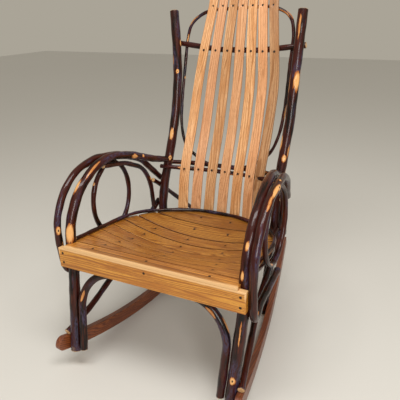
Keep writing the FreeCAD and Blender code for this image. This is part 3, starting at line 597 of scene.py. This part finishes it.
def sanded_board(node, soften, along=None):
    """A board with sanded edges, or only with those along one axis sanded."""
    piece = merged_copy(node, "board_" + node)
    shape = bmesh.new()
    shape.from_mesh(piece.data)
    sharp = [edge for edge in shape.edges if len(edge.link_faces) == 2
             and edge.calc_face_angle(0) > SHARP_ANGLE and edge.calc_length() > SHORTEST_EDGE]
    if along is not None:
        sharp = [edge for edge in sharp
                 if abs((edge.verts[0].co - edge.verts[1].co)[along]) > 0.8 * edge.calc_length()]
    bmesh.ops.bevel(shape, geom=sharp, offset=soften * MM, offset_type="OFFSET", segments=2,
                    profile=0.5, affect="EDGES", material=-1)
    bmesh.ops.triangulate(shape, faces=[face for face in shape.faces if len(face.verts) > 4])
    for face in shape.faces:
        face.smooth = True
    shape.to_mesh(piece.data)
    shape.free()
    piece.data.set_sharp_from_angle(angle=math.radians(50))
    weighted = piece.modifiers.new("flat faces stay flat", "WEIGHTED_NORMAL")
    weighted.keep_sharp = True
    return piece


# %% Grain of each board
# The radii of a rocker's two arcs, in metres.
FRONT_ARC, REAR_ARC = 1.255, 0.826


def grain_upright(places):
    """Grain that runs up a back slat and follows its lean and bend."""
    height = places[:, 2]
    lean = np.polyfit(height, places[:, 0], 5)
    bend = np.polyfit(height, places[:, 1], 5)
    across = places[:, 0] - np.polyval(lean, height)
    through = places[:, 1] - np.polyval(bend, height)
    return np.stack([across, through, height], 1)


def grain_across(places):
    """Grain that runs from side to side."""
    return places[:, [1, 2, 0]]


def grain_along_rocker(places):
    """Grain that follows the rocker's arc, flatter in front than behind."""
    radius = np.where(places[:, 1] < 0, FRONT_ARC, REAR_ARC)
    rise = radius - np.hypot(places[:, 1], radius - places[:, 2])
    return np.stack([places[:, 0], rise, places[:, 1]], 1)


# %% [markdown]
# ## Oak under honey varnish
#
# Oak shows long dark pores and wider lines of late wood along the board. The growth rings
# cross each board at a slant, so on every face they show as lines along the grain, 6 to
# 8 mm from one to the next, bent a little by slow noise. Pores come from a fine noise,
# 1 mm by 22 mm. Varnish gives it a satin sheen, and the tone attribute shifts a board
# lighter or darker. That shift is partly the board's own tone and partly painted shade.

# %% Oak material
def varnished_oak(name, pale, honey, dark, rose, band, roughness):
    """Planed oak under satin varnish, from its pale and dark bands."""
    material, tree, shader = new_material(name)
    place = add(tree, "ShaderNodeAttribute", attribute_name="grain").outputs["Vector"]
    tone, blush, worn, painted_joint_shade = (
        add(tree, "ShaderNodeAttribute", attribute_name=mark).outputs["Fac"]
        for mark in ("tone", "blush", "worn", "painted_joint_shade"))
    shift = add(tree, "ShaderNodeCombineXYZ", {0: tone, 1: tone, 2: tone})
    own_wood = add(tree, "ShaderNodeVectorMath", {0: place, 1: shift}, operation="ADD")

    # Each pattern's width and length in millimetres, and its detail.
    patterns = {"figure": (band * 4.0, 420.0, 1.0), "pores": (1.0, 22.0, 2.0),
                "cloud": (26.0, 160.0, 2.0)}
    drawn = {}
    for pattern, (width, length, detail) in patterns.items():
        scale = (1 / (width * MM), 1 / (width * MM), 1 / (length * MM))
        scaled = add(tree, "ShaderNodeVectorMath", {0: own_wood, 1: scale}, **TIMES)
        drawn[pattern] = add(tree, "ShaderNodeTexNoise", {"Vector": scaled, "Scale": 1.0,
                                                          "Detail": detail, "Roughness": 0.6})

    # Growth rings, from a wave that crosses the board at a slant and is bent by the figure.
    slant = add(tree, "ShaderNodeVectorMath", {0: own_wood, 1: (0.9, 0.8, 0.0)},
                operation="DOT_PRODUCT")
    bent = add(tree, "ShaderNodeMath", {0: drawn["figure"], 1: 26.0}, **TIMES)
    rings = add(tree, "ShaderNodeMath", {0: slant, 1: 2 * math.pi / (band * MM), 2: bent},
                **TIMES_PLUS)
    rings = add(tree, "ShaderNodeMath", {0: rings}, operation="SINE")

    # Wood: pale and honey rings, cloudy patches, then dark pores and late wood.
    share = add(tree, "ShaderNodeMapRange", {0: rings, 1: -0.6, 2: 1.0}, **SMOOTH)
    colour = add(tree, "ShaderNodeMix", {0: share, 6: linear(pale), 7: linear(honey)}, **COLOURS)
    share = add(tree, "ShaderNodeMapRange", {0: drawn["cloud"], 1: 0.42, 2: 0.68}, **SMOOTH)
    colour = add(tree, "ShaderNodeMix", {0: share, 6: colour, 7: linear(honey)}, **COLOURS)
    colour = add(tree, "ShaderNodeMix", {0: blush, 6: colour, 7: linear(rose)}, **COLOURS)
    for lines, low, high, strength in ((drawn["pores"], 0.52, 0.68, 0.6), (rings, 0.35, 1.0, 0.34)):
        share = add(tree, "ShaderNodeMapRange", {0: lines, 1: low, 2: high}, **SMOOTH)
        share = add(tree, "ShaderNodeMath", {0: share, 1: strength}, **TIMES)
        colour = add(tree, "ShaderNodeMix", {0: share, 6: colour, 7: linear(dark)}, **COLOURS)

    # Age and light: the board's own tone with painted shade in it, edges worn pale, and painted
    # shade on the faces in the joints.
    shade = add(tree, "ShaderNodeMapRange", {0: tone, 1: 0.0, 2: 1.0, 3: 0.62, 4: 1.14})
    aged_and_shaded = add(tree, "ShaderNodeVectorMath", {0: colour, "Scale": shade}, operation="SCALE")
    rubbed = add(tree, "ShaderNodeMath", {0: drawn["pores"], 1: 0.5, 2: worn}, **TIMES_PLUS)
    share = add(tree, "ShaderNodeMapRange", {0: rubbed, 1: 0.72, 2: 1.1}, **SMOOTH)
    aged_and_shaded = add(tree, "ShaderNodeMix", {0: share, 6: aged_and_shaded, 7: linear("#e0b27a")}, **COLOURS)
    aged_and_shaded = add(tree, "ShaderNodeMix", {0: painted_joint_shade, 6: aged_and_shaded, 7: linear(dark)}, **COLOURS)

    # Varnish: satin, duller in the pores.
    dull = add(tree, "ShaderNodeMapRange",
               {0: drawn["pores"], 1: 0.3, 2: 0.75, 3: roughness, 4: roughness + 0.18})
    bump = add(tree, "ShaderNodeBump",
               {"Height": drawn["pores"], "Strength": 0.25, "Distance": 0.3 * MM}, invert=True)
    connect(tree, shader, {"Base Color": aged_and_shaded, "Roughness": dull, "Normal": bump,
                           "Coat Weight": 0.25, "Coat Roughness": 0.22})
    return material


# Pale, honey, dark and rosy wood, the rings' spacing in millimetres, and the roughness.
OAK = {
    "back": varnished_oak("oak_back_slats", "#e0ad79", "#c5884f", "#7c4a1e", "#d0946c",
                          7.0, 0.34),
    "seat": varnished_oak("oak_seat_slats", "#c98936", "#a5641c", "#552a0c", "#b06a34",
                          8.0, 0.3),
    "apron": varnished_oak("oak_front_board", "#dc9734", "#bb721a", "#74400f", "#b8722a",
                           6.0, 0.36),
    "rocker": varnished_oak("oak_rockers", "#8e4a1c", "#682f10", "#381808", "#7d4430",
                            6.0, 0.4),
}
print("oak finishes:", [oak.name for oak in OAK.values()])

# %% All the boards
# Each board's tone, then how much of the rosy shade it has. Part of each tone is painted shade: the
# seat slats get darker from front to rear, and back slat 7 is darkest, because of how the light
# falls on them.
BOARDS = {
    "back": {"back_slat_1": (0.76, 0.1), "back_slat_2": (0.68, 0.6), "back_slat_3": (0.4, 0.1),
             "back_slat_4": (0.66, 0.45), "back_slat_5": (0.8, 0.1), "back_slat_6": (0.86, 0.5),
             # Back slat 7's low tone is a painted shadow.
             "back_slat_7": (0.04, 0.2)},
    # The seat tones fall from front to rear. This is painted shade, darkest on the rear slats.
    "seat": {"seat_slat_1": (0.88, 0.2), "seat_slat_2": (0.74, 0.3), "seat_slat_3": (0.7, 0.1),
             "seat_slat_4": (0.46, 0.25), "seat_slat_5": (0.5, 0.0), "seat_slat_6": (0.3, 0.2),
             "seat_slat_7": (0.2, 0.0), "seat_slat_8": (0.06, 0.1)},
    "apron": {"apron": (0.5, 0.0)},
    "rocker": {"rocker_right": (0.7, 0.1), "rocker_left": (0.66, 0.3)},
}
GRAIN = {"back": grain_upright, "seat": grain_across, "apron": grain_across,
         "rocker": grain_along_rocker}
# The bevel of a sanded edge, in millimetres.
SOFTEN = {"back": 1.4, "seat": 1.4, "apron": 1.2, "rocker": 1.5}
# Where wear and dark joints begin, in metres.
APRON_WORN_HEIGHT = 0.3975
SEAT_EDGE_Y = -0.355
FIRST_JOINT_Y = -0.352
for kind, boards in BOARDS.items():
    for node, (tone, blush) in boards.items():
        piece = sanded_board(node, SOFTEN[kind], 0 if kind == "seat" else None)
        places = points_of(piece.data)
        worn = np.zeros(len(places))
        painted_joint_shade = np.zeros(len(places))
        if kind == "apron":
            worn = np.clip((places[:, 2] - APRON_WORN_HEIGHT) / (4 * MM), 0, 1)
        if kind == "seat":
            # The faces that look into a joint between slats are darkened. This is painted shade in
            # the gaps.
            facing = np.abs(points_of(piece.data, "normals")[:, 1])
            painted_joint_shade = np.clip(facing * 2 - 0.9, 0, 0.85)
            painted_joint_shade[places[:, 1] < FIRST_JOINT_Y] = 0
            worn = np.clip((SEAT_EDGE_Y - places[:, 1]) / (2 * MM), 0, 1)
        set_value(piece.data, "grain", GRAIN[kind](places), "FLOAT_VECTOR")
        set_value(piece.data, "tone", np.full(len(places), tone))
        set_value(piece.data, "blush", np.full(len(places), blush))
        set_value(piece.data, "worn", worn)
        set_value(piece.data, "painted_joint_shade", painted_joint_shade)
        piece.data.materials.append(OAK[kind])
        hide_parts(node)
        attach(piece, "root")
        print(node, len(piece.data.polygons), "faces")

# %% [markdown]
# ## Sticks under the seat
#
# Three straight sticks run from front to back and carry the slats. They are dressed like
# the other stems, in a browner and duller bark with more wood showing, because nobody
# picks the best stems for a place that shows only from below.

# %% Sticks
sticks = hickory_bark("hickory_sticks_under_seat", "#1c0f0a", "#3c1c10", "#5a3018", "#4a3a36",
                      fleck_level=1.02)
for k in (1, 2, 3):
    piece = dress_stem("seat_stick_%d" % k, 2.0 * MM)
    piece.data.materials.append(sticks)
    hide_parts("seat_stick_%d" % k)
    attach(piece, "root")
    print(piece.name, len(piece.data.vertices), "points")

# %% [markdown]
# ## Screws
#
# The slats and the front board are held by blackened countersunk wood screws, flush with
# the wood. Their solids are kept, with a dark oxide finish that is worn a little brighter
# in specks about 0.6 mm wide.

# %% Screw finish
material, tree, shader = new_material("steel_black_oxide")
coords = add(tree, "ShaderNodeTexCoord").outputs["Object"]
specks = add(tree, "ShaderNodeTexNoise",
             {"Vector": coords, "Scale": 1 / (0.6 * MM), "Detail": 2.0})
colour = add(tree, "ShaderNodeMix", {0: specks, 6: linear("#1d130d"), 7: linear("#44352a")},
             **COLOURS)
dull = add(tree, "ShaderNodeMapRange", {0: specks, 3: 0.35, 4: 0.6})
connect(tree, shader, {"Base Color": colour, "Roughness": dull, "Metallic": 0.6})
SCREW_SETS = ("apron_screws", "seat_screws", "back_screws")
for node in SCREW_SETS:
    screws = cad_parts[node]
    for slot in screws.material_slots:
        slot.material = material
print("screw sets:", len(SCREW_SETS))

# %% [markdown]
# ## Finish
#
# The view keeps colours as they are written.

# %% Finish
bpy.context.scene.view_settings.view_transform = "Standard"
